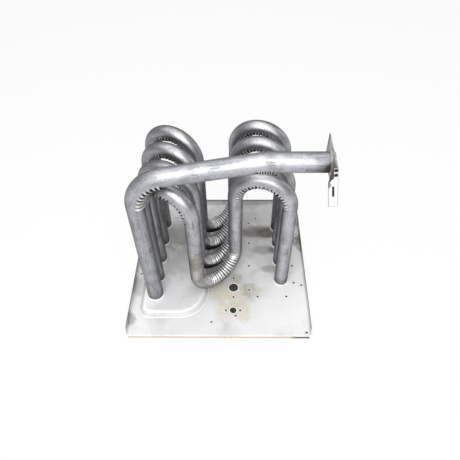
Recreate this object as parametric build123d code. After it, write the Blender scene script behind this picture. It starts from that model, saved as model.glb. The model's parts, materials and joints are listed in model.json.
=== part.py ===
from build123d import *
import math
import os

os.makedirs("parts", exist_ok=True)

# A tubular furnace heat exchanger. Four serpentine tubes stand on a flanged steel panel. Burner gas
# enters at their right-hand legs, leaves at the left-hand ones into a pressed collector, and goes out
# through one larger flue pipe that rises in front of the tubes and crosses over to the right.
# Millimetres, +X to the right, +Y to the back, +Z up. The origin is the middle of the footprint.

# Panel. Its depth is set here, and its width follows from the legs and the margin beside the last one.
PANEL_SIZE = 584.2
BURNER_LEG_MARGIN = 82.6082
SHEET = 1.5
BEND_RADIUS = 2.5
FLANGE_HEIGHT = 26.0
FLANGE_NOSE = 12.0
LIP_DROP = 12.0
CORNER_RELIEF = 5.0

# Serpentine tubes. The front tube's place is measured from the panel's middle line.
TUBE_OD = 44.45
TUBE_WALL = 1.2
TUBE_COUNT = 4
TUBE_PITCH = 81.4
TUBE_BEND_RADIUS = 80.8
FIRST_LEG_X = 80.1
LEG_SET_BACK = (0.0, -69.2, 40.2, 0.0)
FRONT_TUBE_Y = -77.8
LEFT_CROWN_HEIGHT = 463.3
RIGHT_CROWN_HEIGHT = 445.6
U_BEND_CLEARANCE = 20.6
WRINKLES_PER_BEND = 12
WRINKLE_HEIGHT = 2.4
WRINKLE_WIDTH = 7.4
FLARE_WIDTH = 2.2
FLARE_THICKNESS = 1.5

# Ferrules that seal the legs to the sheet
FERRULE_LAND = 3.8
FERRULE_WALL = 1.4
FERRULE_HEIGHT = 6.0

# Collector emboss, pan, gasket and screws. The emboss reaches so far to the left and right of the first
# legs, in front of the flue pipe and behind the back tube.
EMBOSS_X = (-50.1, 172.9)
EMBOSS_Y = (-79.7, 43.5)
EMBOSS_HEIGHT = 16.0
EMBOSS_WALL_RUN = 12.0
EMBOSS_LEFT_RADIUS = 36.0
EMBOSS_RIGHT_RADIUS = 95.0
GASKET_THICKNESS = 1.5
PAN_SHEET = 1.2
PAN_MARGIN = 25.0
PAN_WALL_INSET = 4.0
SCREW_SHANK_RADIUS = 2.2
SCREW_HEAD_RADIUS = 4.6
SCREW_HEAD_HEIGHT = 3.2

# Flue pipe
FLUE_OD = 50.8
FLUE_WALL = 1.2
FLUE_SPACING = 68.0
FLUE_ELBOW_START = 436.9
FLUE_ELBOW_RADIUS = 100.0
FLUE_RISE_DEG = 10.8
FLUE_RUN = 240.0
FLUE_SECOND_RADIUS = 200.0
FLUE_ELBOW_WRINKLES = 8
FLUE_SECOND_WRINKLES = 4
FLUE_STUB = 6.0

# End flange and strap
FLANGE_X = 572.5
FLANGE_PLATE = (2.5, 126.0, 76.0)
FLANGE_CORNER = 3.0
FLANGE_HOLE_RADIUS = 3.6
FLANGE_HOLE_SPACING = 100.0
WELD_SIZE = 4.0
STRAP_THICKNESS = 2.0
STRAP_WIDTH = 22.5
STRAP_LENGTH = 122.0
STRAP_NECK_WIDTH = 10.5
STRAP_NECK_LENGTH = 42.0
STRAP_LEAN_DEG = 8.7
STRAP_SLOT = (5.0, 34.0)
STRAP_SLOT_CENTRE = 72.0
RIVET_RADIUS = 2.0
RIVET_HEAD_RADIUS = 3.6
RIVET_HEAD_HEIGHT = 1.8
RIVET_DEPTHS = (7.0, 21.0)

# Punched holes: x and y from the panel's front left corner, and radius
LARGE_HOLE = (339.0, 184.0, 15.0)
LARGE_HOLE_SCREWS = 77.0
SENSOR_HOLE = (338.0, 94.0, 10.0)
SENSOR_HOLE_SCREWS = 47.0
SMALL_HOLE_RADIUS = 2.6
SMALL_HOLES = (
    (346.6, 74.0),
    (392.8, 174.4), (420.2, 148.0), (516.7, 148.4), (545.6, 204.5), (571.0, 194.7),
    (546.4, 277.1), (571.0, 383.6), (392.9, 276.3), (394.8, 381.8), (395.4, 480.2),
    (422.0, 507.1), (571.0, 14.0),
)
COVER_SCREW_Y = (-15.6, 173.4, 333.4)
COVER_SCREW_INSET = 15.0

# Values worked out from the ones above
tube_r = TUBE_OD / 2
leg_x = [FIRST_LEG_X]
for back, next_back in zip(LEG_SET_BACK, LEG_SET_BACK[1:]):
    leg_x.append(leg_x[-1] + math.sqrt((2 * TUBE_BEND_RADIUS) ** 2 - (next_back - back) ** 2))
flue_r = FLUE_OD / 2
panel_top = LIP_DROP
panel_bottom = panel_top - SHEET
emboss_top = panel_top + EMBOSS_HEIGHT
emboss_under = emboss_top - SHEET
panel_width = leg_x[-1] + BURNER_LEG_MARGIN
strap_right_top = FLANGE_X + FLANGE_PLATE[0]
strap_lean = math.radians(STRAP_LEAN_DEG)
strap_reach = (STRAP_LENGTH - FLANGE_CORNER) * math.sin(strap_lean) + FLANGE_CORNER * (1 - math.cos(strap_lean))
footprint_right = max(panel_width, strap_right_top + strap_reach)
origin_x = footprint_right / 2
front_tube_y = PANEL_SIZE / 2 + FRONT_TUBE_Y
back_tube_y = front_tube_y + TUBE_PITCH * (TUBE_COUNT - 1)
flue_y = front_tube_y - FLUE_SPACING
emboss_x = (leg_x[0] + EMBOSS_X[0], leg_x[0] + EMBOSS_X[1])
emboss_y = (flue_y + EMBOSS_Y[0], back_tube_y + EMBOSS_Y[1])
origin_y = PANEL_SIZE / 2


def at(x, y, z=0.0):
    """A point measured from the panel's front left corner, in the model's own frame."""
    return Vector(x - origin_x, y - origin_y, z)


def drill(x, y, radius, low, high):
    """A vertical round cutter or pin between two heights."""
    place = Pos(*at(x, y, low))
    return place * Cylinder(radius, high - low, align=(Align.CENTER, Align.CENTER, Align.MIN))


def emboss_outline(inset, low):
    """The collector's rounded outline, moved in by an inset, at one height."""
    left, right = emboss_x[0] + inset, emboss_x[1] - inset
    front, back = emboss_y[0] + inset, emboss_y[1] - inset
    corners = [at(left, front), at(right, front), at(right, back), at(left, back)]
    radii = [r - inset for r in (EMBOSS_LEFT_RADIUS, EMBOSS_RIGHT_RADIUS, EMBOSS_RIGHT_RADIUS, EMBOSS_LEFT_RADIUS)]
    outline = make_face(FilletPolyline(*corners, radius=radii, close=True))
    return Pos(0, 0, low) * outline


def cover_screw_places():
    """Screw places down both sides of the collector."""
    left = emboss_x[0] - COVER_SCREW_INSET
    right = emboss_x[1] + COVER_SCREW_INSET
    rows = [emboss_y[0] + y for y in COVER_SCREW_Y] + [emboss_y[1] + COVER_SCREW_INSET]
    return [(x, y) for y in rows for x in (left, right)]


def folded_sheet(points, plane, length):
    """A sheet of one thickness that follows a folded line, extruded to a length."""
    line = FilletPolyline(*points, radius=BEND_RADIUS)
    return extrude(plane * trace(line, line_width=SHEET), amount=length)


def make_panel():
    """The folded sheet with its collector emboss and punched holes."""
    half = panel_width / 2 - SHEET / 2
    mid = panel_top - SHEET / 2
    rim = panel_top + FLANGE_HEIGHT
    front, back = at(0, 0).Y, at(0, PANEL_SIZE).Y
    left, right = at(0, 0).X, at(panel_width, 0).X
    centre_x = (left + right) / 2
    across = [(-half, rim), (-half, mid), (half, mid), (half, rim)]
    across_plane = Plane(origin=(centre_x, back - CORNER_RELIEF, 0), x_dir=(1, 0, 0), z_dir=(0, -1, 0))
    sides = folded_sheet(across, across_plane, PANEL_SIZE - 2 * CORNER_RELIEF)
    along = [(front + SHEET / 2, 0), (front + SHEET / 2, mid), (back - SHEET / 2, mid), (back - SHEET / 2, rim)]
    along_plane = Plane(origin=(left + CORNER_RELIEF, 0, 0), x_dir=(0, 1, 0), z_dir=(1, 0, 0))
    ends = folded_sheet(along, along_plane, panel_width - 2 * CORNER_RELIEF)
    nose = Plane.YZ * Polygon(
        (front, panel_top + BEND_RADIUS),
        (front, rim + 1),
        (front + CORNER_RELIEF + FLANGE_NOSE, rim + 1),
        align=None,
    )
    panel = sides + ends - extrude(nose, amount=panel_width, both=True)
    raised = loft([emboss_outline(0, panel_top), emboss_outline(EMBOSS_WALL_RUN, emboss_top)], ruled=True)
    recess = loft(
        [emboss_outline(SHEET, panel_bottom), emboss_outline(EMBOSS_WALL_RUN + SHEET, emboss_under)], ruled=True
    )
    panel = panel + raised - recess
    for x, y in [(leg_x[0], y) for y in tube_rows()]:
        panel -= drill(x, y, tube_r, panel_bottom, emboss_top + 1)
    panel -= drill(leg_x[0], flue_y, flue_r, panel_bottom, emboss_top + 1)
    for y in tube_rows():
        panel -= drill(leg_x[-1], y, tube_r, 0, emboss_top)
    for x, y, radius in (LARGE_HOLE, SENSOR_HOLE):
        panel -= drill(x, y, radius, 0, emboss_top)
    large_pair = [(LARGE_HOLE[0], LARGE_HOLE[1] + side * LARGE_HOLE_SCREWS / 2) for side in (-1, 1)]
    sensor_pair = [(SENSOR_HOLE[0] + side * SENSOR_HOLE_SCREWS / 2, SENSOR_HOLE[1]) for side in (-1, 1)]
    for x, y in [*SMALL_HOLES, *large_pair, *sensor_pair, *cover_screw_places()]:
        panel -= drill(x, y, SMALL_HOLE_RADIUS, 0, emboss_top)
    return panel


def tube_rows():
    """The y of each tube's outer legs, from the back tube to the front one."""
    return [back_tube_y - TUBE_PITCH * i for i in range(TUBE_COUNT)]


class Bend:
    """A circular bend of a pipe, from where it starts, by a turn in degrees towards its inner side."""

    def __init__(self, start, heading, inward, radius, turn):
        self.start, self.heading, self.inward = start, heading, inward
        self.radius, self.turn = radius, turn
        self.centre = start + inward * radius
        self.end, self.heading_out, self.inward_out = self.station(turn)

    def station(self, degrees):
        """The point, heading and inward direction after some degrees of the bend."""
        a = math.radians(degrees)
        heading = self.heading * math.cos(a) + self.inward * math.sin(a)
        inward = self.inward * math.cos(a) - self.heading * math.sin(a)
        return self.centre - inward * self.radius, heading, inward

    def arc(self):
        """The bend's middle line."""
        return ThreePointArc(self.start, self.station(self.turn / 2)[0], self.end)

    def wrinkles(self, radius, count, width=WRINKLE_WIDTH, height=WRINKLE_HEIGHT):
        """Sharp-crested rings set off-centre, so that they stand out on the inside of the bend only."""
        lens = Polygon(
            (0, -width / 2), (radius - 1.3 * height, -width / 2), (radius, 0),
            (radius - 1.3 * height, width / 2), (0, width / 2), align=None,
        )
        ring = revolve(Plane.XZ * lens, axis=Axis.Z)
        rings = []
        for i in range(count):
            point, heading, inward = self.station(self.turn * (i + 0.5) / count)
            rings.append(Plane(origin=point + inward * height, x_dir=inward, z_dir=heading) * ring)
        return rings


def pipe_body(foot, bends, end, radius):
    """A round rod that rises from its foot, goes round each bend in turn and runs straight to its end."""
    edges, start = [], foot
    for bend in bends:
        edges += [Line(start, bend.start), bend.arc()]
        start = bend.end
    edges.append(Line(start, end))
    return sweep(Plane(origin=foot, z_dir=(0, 0, 1)) * Circle(radius), path=Wire(edges))


def flare(x, y, under, radius):
    """The rim rolled out under the sheet, which holds a leg in its hole."""
    return drill(x, y, radius + FLARE_WIDTH, under - FLARE_THICKNESS, under)


def make_tube():
    """The front tube: four legs, an arch on each side and a U-bend between them."""
    up = Vector(0, 0, 1)
    feet = [at(x, front_tube_y + back) for x, back in zip(leg_x, LEG_SET_BACK)]
    across = [(b - a).normalized() for a, b in zip(feet, feet[1:])]
    left_spring = panel_top + LEFT_CROWN_HEIGHT - TUBE_BEND_RADIUS
    right_spring = panel_top + RIGHT_CROWN_HEIGHT - TUBE_BEND_RADIUS
    low_spring = panel_top + U_BEND_CLEARANCE + tube_r + TUBE_BEND_RADIUS
    start = feet[0] + up * (emboss_under - FLARE_THICKNESS)
    end = feet[3] + up * (panel_bottom - FLARE_THICKNESS)
    bends = [
        Bend(feet[0] + up * left_spring, up, across[0], TUBE_BEND_RADIUS, 180),
        Bend(feet[1] + up * low_spring, up * -1, across[1], TUBE_BEND_RADIUS, 180),
        Bend(feet[2] + up * right_spring, up, across[2], TUBE_BEND_RADIUS, 180),
    ]
    outer = pipe_body(start, bends, end, tube_r)
    for bend in bends:
        outer += bend.wrinkles(tube_r, WRINKLES_PER_BEND)
    outer += flare(leg_x[0], front_tube_y, emboss_under, tube_r)
    outer += flare(leg_x[-1], front_tube_y, panel_bottom, tube_r)
    return outer - pipe_body(start, bends, end, tube_r - TUBE_WALL)


def make_ferrule(x, y, low, radius):
    """A drawn ring that hugs one leg and lies on the sheet."""
    profile = [
        (radius, 0), (radius + FERRULE_LAND, 0), (radius + FERRULE_LAND, FERRULE_WALL),
        (radius + FERRULE_WALL, FERRULE_HEIGHT), (radius, FERRULE_HEIGHT),
    ]
    ring = revolve(Plane.XZ * Polygon(*profile, align=None), axis=Axis.Z)
    return Pos(*at(x, y, low)) * ring


def flue_route():
    """The flue pipe's start, its two bends and its end."""
    up, right = Vector(0, 0, 1), Vector(1, 0, 0)
    rise = math.radians(FLUE_RISE_DEG)
    foot = at(leg_x[0], flue_y, emboss_under - FLARE_THICKNESS)
    elbow = Bend(at(leg_x[0], flue_y, panel_top + FLUE_ELBOW_START), up, right, FLUE_ELBOW_RADIUS, 90 - FLUE_RISE_DEG)
    second_start = elbow.end + elbow.heading_out * FLUE_RUN
    second = Bend(second_start, elbow.heading_out, elbow.inward_out, FLUE_SECOND_RADIUS, FLUE_RISE_DEG)
    end = Vector(at(FLANGE_X, 0).X + FLANGE_PLATE[0] + FLUE_STUB, second.end.Y, second.end.Z)
    return foot, elbow, second, end


def make_flue_pipe():
    """The large pipe from the collector to the end flange."""
    foot, elbow, second, end = flue_route()
    outer = pipe_body(foot, [elbow, second], end, flue_r)
    outer += second.wrinkles(flue_r, FLUE_SECOND_WRINKLES)
    outer += elbow.wrinkles(flue_r, FLUE_ELBOW_WRINKLES)
    outer += flare(leg_x[0], flue_y, emboss_under, flue_r)
    return outer - pipe_body(foot, [elbow, second], end, flue_r - FLUE_WALL)


def make_flue_flange():
    """The plate square to the pipe's end, with its weld and fixing holes."""
    thickness, depth, height = FLANGE_PLATE
    end = flue_route()[-1]
    centre = Vector(at(FLANGE_X, 0).X, end.Y, end.Z)
    face = Plane(origin=centre, x_dir=(0, 1, 0), z_dir=(1, 0, 0))
    outline = RectangleRounded(depth, height, FLANGE_CORNER) - Circle(flue_r)
    outline -= [Pos(side * FLANGE_HOLE_SPACING / 2, 0) * Circle(FLANGE_HOLE_RADIUS) for side in (-1, 1)]
    plate = extrude(face * outline, amount=thickness)
    bead = Polygon((flue_r, 0), (flue_r + WELD_SIZE, 0), (flue_r, -WELD_SIZE), align=None)
    weld = face * revolve(Plane.XZ * bead, axis=Axis.Z)
    return plate + weld


def strap_frame():
    """The plane of the strap's front face: its origin is the top right corner, and Y runs up the strap."""
    end = flue_route()[-1]
    front = end.Y - FLANGE_PLATE[1] / 2 - STRAP_THICKNESS
    corner = Vector(at(strap_right_top, 0).X, front, end.Z + FLANGE_PLATE[2] / 2)
    return Plane(origin=corner, x_dir=(math.cos(strap_lean), 0, math.sin(strap_lean)), z_dir=(0, -1, 0))


def make_strap():
    """The slotted strip at the flange's front edge, narrow at the top and leaning outwards."""
    outline = Polygon(
        (0, 0), (0, -STRAP_LENGTH), (-STRAP_WIDTH, -STRAP_LENGTH), (-STRAP_WIDTH, -STRAP_NECK_LENGTH),
        (-STRAP_NECK_WIDTH, -STRAP_NECK_LENGTH + STRAP_WIDTH - STRAP_NECK_WIDTH), (-STRAP_NECK_WIDTH, 0),
        align=None,
    )
    outline = fillet(outline.vertices().sort_by(Axis.Y)[:2], FLANGE_CORNER)
    width, length = STRAP_SLOT
    slot = Pos(-STRAP_WIDTH / 2, -STRAP_SLOT_CENTRE) * SlotOverall(length, width, rotation=90)
    holes = [Pos(-STRAP_NECK_WIDTH / 2, -depth) * Circle(RIVET_RADIUS) for depth in RIVET_DEPTHS]
    return extrude(strap_frame() * (outline - slot - holes), amount=STRAP_THICKNESS, dir=(0, 1, 0))


def make_rivets():
    """The two fasteners through the strap's neck."""
    frame = strap_frame()
    head = Circle(RIVET_HEAD_RADIUS)
    shank = Circle(RIVET_RADIUS)
    rivets = []
    for depth in RIVET_DEPTHS:
        place = Pos(-STRAP_NECK_WIDTH / 2, -depth)
        rivets.append(
            extrude(frame * (place * head), amount=RIVET_HEAD_HEIGHT, dir=(0, -1, 0))
            + extrude(frame * (place * shank), amount=STRAP_THICKNESS, dir=(0, 1, 0))
        )
    return Compound(children=rivets)


def pan_outline(low):
    """The flat outline shared by the gasket and the pan's rim."""
    x0, x1 = emboss_x[0] - PAN_MARGIN, emboss_x[1] + PAN_MARGIN
    y0, y1 = emboss_y[0] - PAN_MARGIN, emboss_y[1] + PAN_MARGIN
    centre = at((x0 + x1) / 2, (y0 + y1) / 2, low)
    outline = RectangleRounded(x1 - x0, y1 - y0, COVER_SCREW_INSET / 2)
    return Plane(origin=centre) * outline


def make_gasket():
    """The flat seal between the pan and the panel."""
    low = panel_bottom - GASKET_THICKNESS
    gasket = extrude(pan_outline(low), amount=GASKET_THICKNESS)
    gasket -= extrude(emboss_outline(SHEET, low), amount=GASKET_THICKNESS)
    for x, y in cover_screw_places():
        gasket -= drill(x, y, SMALL_HOLE_RADIUS, low, panel_bottom)
    return gasket


def make_pan():
    """The pressed pan that closes the collector from below."""
    rim_top = panel_bottom - GASKET_THICKNESS
    rim = extrude(pan_outline(rim_top - PAN_SHEET), amount=PAN_SHEET)
    bowl = loft([emboss_outline(PAN_WALL_INSET, 0), emboss_outline(SHEET, rim_top - PAN_SHEET)], ruled=True)
    hollow = loft(
        [emboss_outline(PAN_WALL_INSET + PAN_SHEET, PAN_SHEET), emboss_outline(SHEET + PAN_SHEET, rim_top)], ruled=True
    )
    pan = rim + bowl - hollow
    for x, y in cover_screw_places():
        pan -= drill(x, y, SMALL_HOLE_RADIUS, 0, rim_top)
    return pan


def make_screws():
    """The screws that hold the pan, driven from below and cut off level with the panel."""
    head_top = panel_bottom - GASKET_THICKNESS - PAN_SHEET
    screws = []
    for x, y in cover_screw_places():
        shank = drill(x, y, SCREW_SHANK_RADIUS, head_top, panel_top)
        place = Pos(*at(x, y, head_top - SCREW_HEAD_HEIGHT))
        head = extrude(place * RegularPolygon(SCREW_HEAD_RADIUS, 6), amount=SCREW_HEAD_HEIGHT)
        screws.append(shank + head)
    return Compound(children=screws)


def main():
    """Make every node and write it to its own file."""
    nodes = {"panel": make_panel()}
    front_tube = make_tube()
    for i, y in enumerate(tube_rows(), start=1):
        nodes[f"tube_{i}"] = Pos(0, y - front_tube_y, 0) * front_tube
        nodes[f"burner_ferrule_{i}"] = make_ferrule(leg_x[-1], y, panel_top, tube_r)
        nodes[f"collector_ferrule_{i}"] = make_ferrule(leg_x[0], y, emboss_top, tube_r)
    nodes["flue_ferrule"] = make_ferrule(leg_x[0], flue_y, emboss_top, flue_r)
    nodes["flue_pipe"] = make_flue_pipe()
    nodes["flue_flange"] = make_flue_flange()
    nodes["flue_strap"] = make_strap()
    nodes["strap_rivets"] = make_rivets()
    nodes["collector_gasket"] = make_gasket()
    nodes["collector_pan"] = make_pan()
    nodes["cover_screws"] = make_screws()
    for name, shape in nodes.items():
        export_step(shape, f"parts/{name}.step")


if __name__ == "__main__":
    main()
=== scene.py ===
"""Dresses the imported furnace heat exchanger: wrinkle-bent tubes, folded panel, flue pipe and studio."""
import json
import logging
import math
import random
from dataclasses import dataclass, field
from enum import Enum
from functools import lru_cache
from typing import Callable, Iterable, Optional

import bmesh
import bpy
from mathutils import Matrix, Vector, geometry

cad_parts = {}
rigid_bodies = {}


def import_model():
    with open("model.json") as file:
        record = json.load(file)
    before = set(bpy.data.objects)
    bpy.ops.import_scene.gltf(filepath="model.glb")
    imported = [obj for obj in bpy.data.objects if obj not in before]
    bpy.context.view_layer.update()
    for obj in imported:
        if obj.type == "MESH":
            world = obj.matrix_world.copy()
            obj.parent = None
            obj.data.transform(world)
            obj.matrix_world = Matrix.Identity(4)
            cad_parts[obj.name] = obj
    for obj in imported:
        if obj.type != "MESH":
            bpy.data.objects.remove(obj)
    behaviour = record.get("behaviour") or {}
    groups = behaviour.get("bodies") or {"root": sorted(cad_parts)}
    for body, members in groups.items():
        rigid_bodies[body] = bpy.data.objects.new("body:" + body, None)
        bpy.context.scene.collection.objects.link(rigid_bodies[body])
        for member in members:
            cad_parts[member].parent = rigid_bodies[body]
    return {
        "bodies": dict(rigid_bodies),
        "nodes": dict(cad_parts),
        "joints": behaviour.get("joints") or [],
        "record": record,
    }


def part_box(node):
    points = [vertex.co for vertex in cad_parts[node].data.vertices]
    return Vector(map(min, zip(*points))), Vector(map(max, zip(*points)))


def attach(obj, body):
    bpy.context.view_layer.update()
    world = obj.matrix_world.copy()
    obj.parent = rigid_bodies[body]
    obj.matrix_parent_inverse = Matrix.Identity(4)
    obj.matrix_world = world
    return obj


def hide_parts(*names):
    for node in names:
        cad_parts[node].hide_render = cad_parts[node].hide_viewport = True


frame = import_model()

Tree, Socket, Material = bpy.types.NodeTree, bpy.types.NodeSocket, bpy.types.Material
Thing, Shape, Mesh = bpy.types.Object, bmesh.types.BMesh, bpy.types.Mesh
log = logging.getLogger("heat_exchanger")
MM = 0.001
PHOTO_PIXELS = 460
UP = Vector((0.0, 0.0, 1.0))


@lru_cache
def panel_corner() -> Vector:
    """The panel's front left corner, on the floor."""
    low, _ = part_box("panel")
    return Vector((low.x, low.y, 0.0))


def at(x: float, y: float, z: float = 0.0) -> Vector:
    """A point in metres, from millimetres right, back and up of the panel's front left corner."""
    return panel_corner() + Vector((x, y, z)) * MM


def smooth(edge0: float, edge1: float, value: float) -> float:
    """A smooth step from 0 at edge0 to 1 at edge1."""
    t = min(1.0, max(0.0, (value - edge0) / (edge1 - edge0)))
    return t * t * (3.0 - 2.0 * t)


class Body(Enum):
    """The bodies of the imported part."""

    ROOT = "root"


# Shader helpers


def fill(tree: Tree, node: bpy.types.Node, inputs: dict) -> None:
    """Gives a node's inputs, by name or index, their values or links from other outputs."""
    for name, value in inputs.items():
        if isinstance(value, Socket):
            tree.links.new(value, node.inputs[name])
        else:
            node.inputs[name].default_value = value


def place(tree: Tree, kind: str, inputs: Optional[dict] = None, **settings) -> bpy.types.Node:
    """Adds a node and fills its inputs with values or links.

    Args:
        tree: the node tree that the node goes into.
        kind: the node's type name.
        inputs: input name or index to a value or to another node's output.
        settings: the node's own settings.

    Returns:
        The new node.
    """
    node = tree.nodes.new(kind)
    for name, value in settings.items():
        setattr(node, name, value)
    fill(tree, node, inputs or {})
    return node


def span(tree: Tree, value: Socket, low: tuple, high: tuple) -> Socket:
    """Maps a value from one range to another, clamped.

    Args:
        tree: the node tree.
        value: the value to map.
        low: what the value is at one end, and what it becomes there.
        high: the same at the other end.

    Returns:
        The mapped value.
    """
    wanted = {"Value": value, "From Min": low[0], "From Max": high[0]}
    wanted |= {"To Min": low[1], "To Max": high[1]}
    return place(tree, "ShaderNodeMapRange", wanted).outputs["Result"]


def blend_colour(tree: Tree, factor, first, second) -> Socket:
    """Mixes two colours or outputs: the first at factor 0, the second at 1."""
    first, second = (v if isinstance(v, Socket) else (*v, 1.0) for v in (first, second))
    return place(tree, "ShaderNodeMix", {0: factor, 6: first, 7: second}, data_type="RGBA").outputs[2]


def new_group(name: str, inputs: dict, outputs: dict) -> Tree:
    """An empty shader node group with named sockets.

    Args:
        name: the group's name.
        inputs: input name to (socket type, default or None).
        outputs: output name to socket type.

    Returns:
        The group's tree, with its input and output nodes placed.
    """
    tree = bpy.data.node_groups.new(name, "ShaderNodeTree")
    for label, (kind, default) in inputs.items():
        socket = tree.interface.new_socket(label, in_out="INPUT", socket_type=kind)
        if default is not None:
            socket.default_value = default
    for label, kind in outputs.items():
        tree.interface.new_socket(label, in_out="OUTPUT", socket_type=kind)
    tree.nodes.new("NodeGroupInput")
    tree.nodes.new("NodeGroupOutput")
    return tree


FLOAT, VECTOR = "NodeSocketFloat", "NodeSocketVector"


def calc(tree: Tree, operation: str, first, second, vectors: bool = False) -> Socket:
    """The result of a maths operation on two numbers or two vectors, values or outputs."""
    kind = "ShaderNodeVectorMath" if vectors else "ShaderNodeMath"
    node = place(tree, kind, {0: first, 1: second}, operation=operation)
    return node.outputs["Value" if operation == "DISTANCE" else 0]


def noise(tree: Tree, vector: Socket, scale, detail: float, **more) -> Socket:
    """A noise texture's value, at a scale and with a depth of detail."""
    inputs = {"Vector": vector, "Scale": scale, "Detail": detail, **more}
    return place(tree, "ShaderNodeTexNoise", inputs).outputs["Fac"]


class Effects:
    """The shader effects that several finishes share, each one a node group built once."""

    def __init__(self) -> None:
        self.streaks = self._streaks()
        self.clouds = self._clouds()
        self.ragged_blot = self._ragged_blot()

    @staticmethod
    def _ends(tree: Tree) -> tuple:
        """The group's input and output nodes."""
        return tree.nodes["Group Input"].outputs, tree.nodes["Group Output"].inputs

    @staticmethod
    def _step(tree: Tree, value: Socket, low, high) -> Socket:
        """A smooth step from 0 at the low value to 1 at the high one."""
        ends = {"Value": value, "From Min": low, "From Max": high}
        node = place(tree, "ShaderNodeMapRange", ends, interpolation_type="SMOOTHSTEP")
        return node.outputs["Result"]

    def _streaks(self) -> Tree:
        """Fine lines drawn out along a surface's length, with broken ends."""
        inputs = {"Vector": (VECTOR, None), "Across": (FLOAT, 60.0), "Along": (FLOAT, 3.0)}
        tree = new_group("Drawn streaks", inputs, {"Mask": FLOAT})
        source, sink = self._ends(tree)
        scales = {0: source["Across"], 1: source["Along"], 2: source["Along"]}
        scale = place(tree, "ShaderNodeCombineXYZ", scales).outputs[0]
        stretched = calc(tree, "MULTIPLY", source["Vector"], scale, vectors=True)
        long, fine = noise(tree, stretched, 1.0, 5.0), noise(tree, stretched, 4.3, 3.0)
        both = calc(tree, "MULTIPLY", long, fine)
        tree.links.new(span(tree, both, (0.14, 0.0), (0.38, 1.0)), sink["Mask"])
        return tree

    def _clouds(self) -> Tree:
        """Soft uneven patches."""
        inputs = {"Vector": (VECTOR, None), "Scale": (FLOAT, 8.0)}
        inputs |= {"Low": (FLOAT, 0.4), "High": (FLOAT, 0.65)}
        tree = new_group("Cloudy patches", inputs, {"Mask": FLOAT})
        source, sink = self._ends(tree)
        patches = noise(tree, source["Vector"], source["Scale"], 6.0, Roughness=0.6, Distortion=0.4)
        tree.links.new(self._step(tree, patches, source["Low"], source["High"]), sink["Mask"])
        return tree

    def _ragged_blot(self) -> Tree:
        """A blot about a point, with a ragged edge."""
        inputs = {"Vector": (VECTOR, None), "Centre": (VECTOR, None)}
        inputs |= {"Reach": (FLOAT, 0.05), "Ragged": (FLOAT, 0.5)}
        tree = new_group("Ragged blot", inputs, {"Mask": FLOAT})
        source, sink = self._ends(tree)
        away = calc(tree, "DISTANCE", source["Vector"], source["Centre"], vectors=True)
        part = calc(tree, "DIVIDE", away, source["Reach"])
        rough = calc(tree, "ADD", noise(tree, source["Vector"], 42.0, 7.0), -0.5)
        edge = calc(tree, "ADD", part, calc(tree, "MULTIPLY", rough, source["Ragged"]))
        tree.links.new(self._step(tree, edge, 1.0, 0.45), sink["Mask"])
        return tree

    @staticmethod
    def use(tree: Tree, group: Tree, inputs: dict) -> Socket:
        """Places a group in a material with its own values, and gives its mask."""
        node = tree.nodes.new("ShaderNodeGroup")
        node.node_tree = group
        fill(tree, node, inputs)
        return node.outputs["Mask"]


def blank_material(name: str) -> tuple:
    """A new material with one Principled shader: itself, its tree and the shader."""
    material = bpy.data.materials.new(name)
    material.use_nodes = True
    tree = material.node_tree
    return material, tree, tree.nodes["Principled BSDF"]


class Canvas:
    """A material while it is being painted: its nodes, its coordinates and its colour so far."""

    def __init__(self, name: str, effects: Effects, colour: tuple) -> None:
        self.material, self.tree, self.shader = blank_material(name)
        self.effects = effects
        self.colour = colour
        self.surface = place(self.tree, "ShaderNodeTexCoord").outputs["Object"]

    def clouds(self, scale: float, low: float = 0.4, high: float = 0.65) -> Socket:
        """A mask of soft patches, finer with a greater scale."""
        inputs = {"Vector": self.surface, "Scale": scale, "Low": low, "High": high}
        return self.effects.use(self.tree, self.effects.clouds, inputs)

    def attribute(self, name: str) -> Socket:
        """A mask that the mesh carries on its points."""
        return place(self.tree, "ShaderNodeAttribute", attribute_name=name).outputs["Fac"]

    def paint(self, mask: Socket, colour: tuple, strength: float = 1.0) -> None:
        """Lays a colour over what is there.

        Args:
            mask: where the colour goes.
            colour: the colour.
            strength: how much of it covers where the mask is full.
        """
        if strength < 1.0:
            mask = span(self.tree, mask, (0.0, 0.0), (1.0, strength))
        self.colour = blend_colour(self.tree, mask, self.colour, colour)

    def bump(self, scale: float, strength: float, distance: float) -> None:
        """Roughens the surface with a fine grain."""
        grain = noise(self.tree, self.surface, scale, 5.0)
        inputs = {"Strength": strength, "Distance": distance, "Height": grain}
        bump = place(self.tree, "ShaderNodeBump", inputs)
        self.tree.links.new(bump.outputs["Normal"], self.shader.inputs["Normal"])

    def finish(self, mask: Socket, roughness: tuple, metallic: float) -> Material:
        """Joins colour and gloss to the shader.

        Args:
            mask: where the surface is duller.
            roughness: how rough it is where the mask is empty, and where it is full.
            metallic: how much of a bare metal it is.

        Returns:
            The finished material.
        """
        rough = span(self.tree, mask, (0.0, roughness[0]), (1.0, roughness[1]))
        inputs = {"Base Color": self.colour, "Roughness": rough, "Metallic": metallic}
        fill(self.tree, self.shader, inputs)
        return self.material


BEIGE, OLIVE = (0.60, 0.56, 0.44), (0.36, 0.36, 0.27)
BROWN, GREY = (0.16, 0.13, 0.11), (0.34, 0.32, 0.31)
SHADE_DARK, PAINTED_LIGHT = (0.05, 0.045, 0.04), (0.80, 0.80, 0.81)
TAN, UMBER = (0.52, 0.47, 0.38), (0.16, 0.13, 0.10)


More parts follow.
